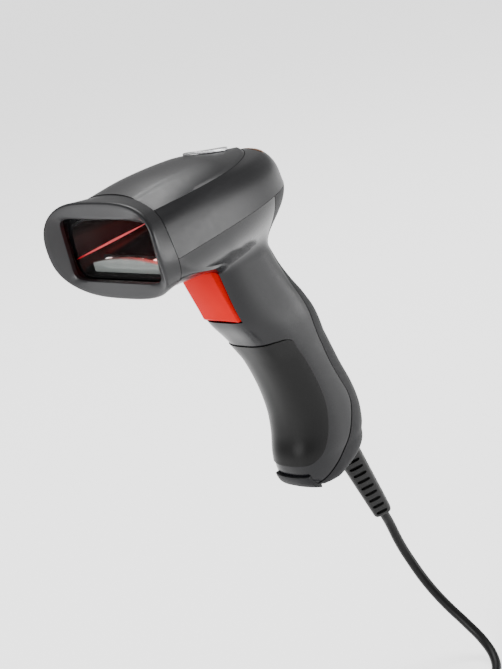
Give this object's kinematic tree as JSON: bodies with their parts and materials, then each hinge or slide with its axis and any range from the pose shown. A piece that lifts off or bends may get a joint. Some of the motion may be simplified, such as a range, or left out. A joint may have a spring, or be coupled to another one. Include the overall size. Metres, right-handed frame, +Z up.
{
  "type": "handheld barcode scanner",
  "caption": "Pistol-grip handheld barcode scanner with a wide nose window, a sprung trigger, a rubber finger grip and a corded USB lead.",
  "frame": {"origin": "middle of the hand grip, on the symmetry plane", "axes": "nose towards -Y, +Z up, +X is the scanner's own left side"},
  "size_m": [0.1419, 0.1448, 0.3038],
  "materials": {
    "housing": "satin grey",
    "inlay": "satin dark grey",
    "handle": "gloss graphite",
    "spine": "matt",
    "soft_rubber": "matt soft-touch",
    "boot": "matt",
    "cable": "satin PVC",
    "trigger_red": "satin red",
    "badge": "brushed silver",
    "indicator": "translucent amber",
    "clear": "clear polished",
    "hood": "light-absorbing black",
    "steel": "plain",
    "board": "solder mask",
    "chip": "moulded",
    "connector": "moulded nylon",
    "emitter": "clear red"
  },
  "bodies": {
    "body": {"nose_bezel": "housing", "upper_housing": "housing", "top_inlay": "inlay", "badge": "badge", "indicator_lens": "indicator", "lower_housing": "handle", "rear_spine": "spine", "finger_grip": "soft_rubber", "foot_tab": "spine", "strain_relief": "boot", "trigger_pivot_pin": "steel", "trigger_spring": "steel", "switch_body": "chip", "switch_board": "board", "scan_window": "clear", "window_gasket": "soft_rubber", "inner_hood": "hood", "lens_bar": "clear", "led_board": "board", "illumination_led_1": "emitter", "illumination_led_2": "emitter", "illumination_led_3": "emitter", "illumination_led_4": "emitter", "lens_mount": "hood", "lens_barrel": "chip", "sensor_chip": "chip", "sensor_board": "board", "main_board": "board", "decoder_chip": "chip", "memory_chip": "chip", "beeper": "hood", "status_led": "emitter", "cable_socket": "connector", "cable_plug": "connector", "handle_harness": "cable", "grip_screw_upper": "steel", "grip_screw_lower": "steel", "cord_lead": "cable", "cord_coil": "cable", "cord_tie": "cable", "cord_tail": "cable", "usb_plug_grip": "cable", "usb_shell": "steel", "usb_insulator": "connector"},
    "trigger": {"trigger": "trigger_red"},
    "switch_button": {"switch_button": "connector"}
  },
  "joints": [
    {"name": "trigger_pull", "type": "hinge", "parent": "body", "child": "trigger", "pos_m": [0, -0.0354, 0.078], "axis": [1, 0, 0], "range_deg": [0, 6], "stiffness_Nm_per_rad": 0.5, "springref_deg": -11.46, "deforming": ["trigger_spring"]},
    {"name": "switch_press", "type": "slide", "parent": "body", "child": "switch_button", "axis": [0, 1, 0], "range_m": [0, 0.0028], "stiffness_N_per_m": 5, "springref_m": -0.002}
  ],
  "couplings": [
    {"joint": "switch_press", "follows": "trigger_pull", "m_per_rad": 0.026}
  ]
}
